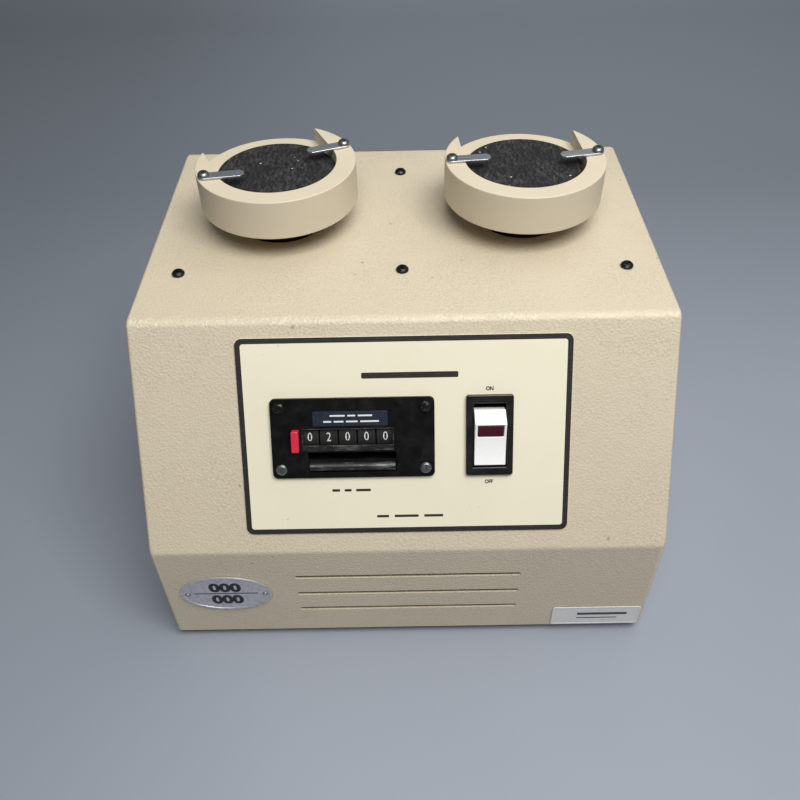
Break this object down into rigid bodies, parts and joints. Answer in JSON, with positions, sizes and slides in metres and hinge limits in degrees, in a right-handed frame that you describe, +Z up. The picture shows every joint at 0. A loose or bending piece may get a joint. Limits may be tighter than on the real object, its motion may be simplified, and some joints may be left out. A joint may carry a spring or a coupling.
{
  "type": "tapped density tester",
  "caption": "Bench tester whose motor-driven cams lift and drop turning cups that hold measuring cylinders, with a preset tap counter and power rocker.",
  "frame": {"origin": "on the table, under the middle of the housing", "axes": "+X to the operator's right, +Y to the back, +Z up"},
  "size_m": [0.31, 0.2671, 0.257],
  "materials": {
    "cover_paint": "fine pebble-textured beige paint",
    "plated_steel": "zinc plated",
    "foot_rubber": "moulded black rubber",
    "steel_screw": "plated screw",
    "black_screw": "blackened pan-head screw",
    "overlay_cream": "printed cream overlay with a dark border",
    "black_plastic": "satin black moulding",
    "collar_black": "black turned plastic",
    "red_plastic": "red push button",
    "white_plastic": "white rocker",
    "red_lens": "dark red window",
    "tag_aluminium": "stamped tag with a raised rim",
    "label_white": "plain printed label",
    "cup_plastic": "turned beige plastic",
    "pad_rubber": "worn charcoal rubber",
    "clip_steel": "flat spring-steel strip",
    "ground_steel": "ground steel",
    "motor_paint": "grey machine paint"
  },
  "bodies": {
    "housing": {"housing_cover": "cover_paint", "base_plate": "plated_steel", "bridge_plate": "plated_steel", "left_bearing_hanger": "plated_steel", "right_bearing_hanger": "plated_steel", "foot_front_left": "foot_rubber", "foot_front_right": "foot_rubber", "foot_back_left": "foot_rubber", "foot_back_right": "foot_rubber", "side_screw_left": "steel_screw", "side_screw_right": "steel_screw", "deck_screw_front_left": "black_screw", "deck_screw_front_middle": "black_screw", "deck_screw_front_right": "black_screw", "deck_screw_back_left": "black_screw", "deck_screw_back_middle": "black_screw", "deck_screw_back_right": "black_screw", "counter_screw_1": "black_screw", "counter_screw_2": "black_screw", "counter_screw_3": "black_screw", "counter_screw_4": "black_screw", "control_overlay": "overlay_cream", "counter_plate": "black_plastic", "counter_guard_bar": "black_plastic", "counter_case": "black_plastic", "switch_body": "black_plastic", "power_inlet": "black_plastic", "count_switch": "black_plastic", "left_guide_collar": "collar_black", "right_guide_collar": "collar_black", "oval_tag": "tag_aluminium", "corner_label": "label_white", "gearmotor": "motor_paint"},
    "left_lift": {"left_cam_lifter": "ground_steel"},
    "left_turntable": {"left_tap_shaft": "ground_steel", "left_cup": "cup_plastic", "left_pad": "pad_rubber", "left_clip_1_screw": "black_screw", "left_clip_2_screw": "black_screw"},
    "left_clip_a": {"left_clip_1": "clip_steel"},
    "left_clip_b": {"left_clip_2": "clip_steel"},
    "right_lift": {"right_cam_lifter": "ground_steel"},
    "right_turntable": {"right_tap_shaft": "ground_steel", "right_cup": "cup_plastic", "right_pad": "pad_rubber", "right_clip_1_screw": "black_screw", "right_clip_2_screw": "black_screw"},
    "right_clip_a": {"right_clip_1": "clip_steel"},
    "right_clip_b": {"right_clip_2": "clip_steel"},
    "cam_rotor": {"camshaft": "ground_steel", "left_cam": "ground_steel", "right_cam": "ground_steel"},
    "wheel_1": {"number_wheel_1": "black_plastic"},
    "wheel_2": {"number_wheel_2": "black_plastic"},
    "wheel_3": {"number_wheel_3": "black_plastic"},
    "wheel_4": {"number_wheel_4": "black_plastic"},
    "wheel_5": {"number_wheel_5": "black_plastic"},
    "preset_key": {"preset_button": "red_plastic"},
    "rocker": {"power_rocker": "white_plastic", "rocker_lens": "red_lens"}
  },
  "joints": [
    {"name": "cam_turn", "type": "hinge", "parent": "housing", "child": "cam_rotor", "pos_m": [0, 0.0379, 0.11], "axis": [1, 0, 0], "range_deg": [0, 300]},
    {"name": "left_tap", "type": "slide", "parent": "housing", "child": "left_lift", "axis": [0, 0, 1], "range_m": [0, 0.003]},
    {"name": "left_cup_turn", "type": "hinge", "parent": "left_lift", "child": "left_turntable", "pos_m": [-0.0751, 0.0379, 0.229], "axis": [0, 0, 1], "continuous": true},
    {"name": "left_clip_a_swivel", "type": "hinge", "parent": "left_turntable", "child": "left_clip_a", "pos_m": [-0.11544, 0.0196, 0.2539], "axis": [0, 0, 1], "range_deg": [-95, 95]},
    {"name": "left_clip_b_swivel", "type": "hinge", "parent": "left_turntable", "child": "left_clip_b", "pos_m": [-0.03476, 0.0562, 0.2539], "axis": [0, 0, 1], "range_deg": [-95, 95]},
    {"name": "right_tap", "type": "slide", "parent": "housing", "child": "right_lift", "axis": [0, 0, 1], "range_m": [0, 0.003]},
    {"name": "right_cup_turn", "type": "hinge", "parent": "right_lift", "child": "right_turntable", "pos_m": [0.0751, 0.0379, 0.229], "axis": [0, 0, 1], "continuous": true},
    {"name": "right_clip_a_swivel", "type": "hinge", "parent": "right_turntable", "child": "right_clip_a", "pos_m": [0.03093, 0.0345, 0.2539], "axis": [0, 0, 1], "range_deg": [-95, 95]},
    {"name": "right_clip_b_swivel", "type": "hinge", "parent": "right_turntable", "child": "right_clip_b", "pos_m": [0.11927, 0.0413, 0.2539], "axis": [0, 0, 1], "range_deg": [-95, 95]},
    {"name": "wheel_1_turn", "type": "hinge", "parent": "housing", "child": "wheel_1", "pos_m": [-0.0541, -0.08694, 0.14834], "axis": [1, 0, 0], "continuous": true},
    {"name": "wheel_2_turn", "type": "hinge", "parent": "housing", "child": "wheel_2", "pos_m": [-0.0434, -0.08694, 0.14834], "axis": [1, 0, 0], "continuous": true},
    {"name": "wheel_3_turn", "type": "hinge", "parent": "housing", "child": "wheel_3", "pos_m": [-0.0327, -0.08694, 0.14834], "axis": [1, 0, 0], "continuous": true},
    {"name": "wheel_4_turn", "type": "hinge", "parent": "housing", "child": "wheel_4", "pos_m": [-0.022, -0.08694, 0.14834], "axis": [1, 0, 0], "continuous": true},
    {"name": "wheel_5_turn", "type": "hinge", "parent": "housing", "child": "wheel_5", "pos_m": [-0.0113, -0.08694, 0.14834], "axis": [1, 0, 0], "continuous": true},
    {"name": "preset_press", "type": "slide", "parent": "housing", "child": "preset_key", "axis": [0, -0.8752, 0.4837], "range_m": [-0.002, 0], "stiffness_N_per_m": 400},
    {"name": "rocker_tilt", "type": "hinge", "parent": "housing", "child": "rocker", "pos_m": [0.0475, -0.09648, 0.15361], "axis": [1, 0, 0], "range_deg": [-16, 0]}
  ],
  "couplings": [
    {"joint": "cam_turn", "follows": "left_tap", "rad_per_m": 1745.3},
    {"joint": "right_tap", "follows": "left_tap", "ratio": 1}
  ]
}
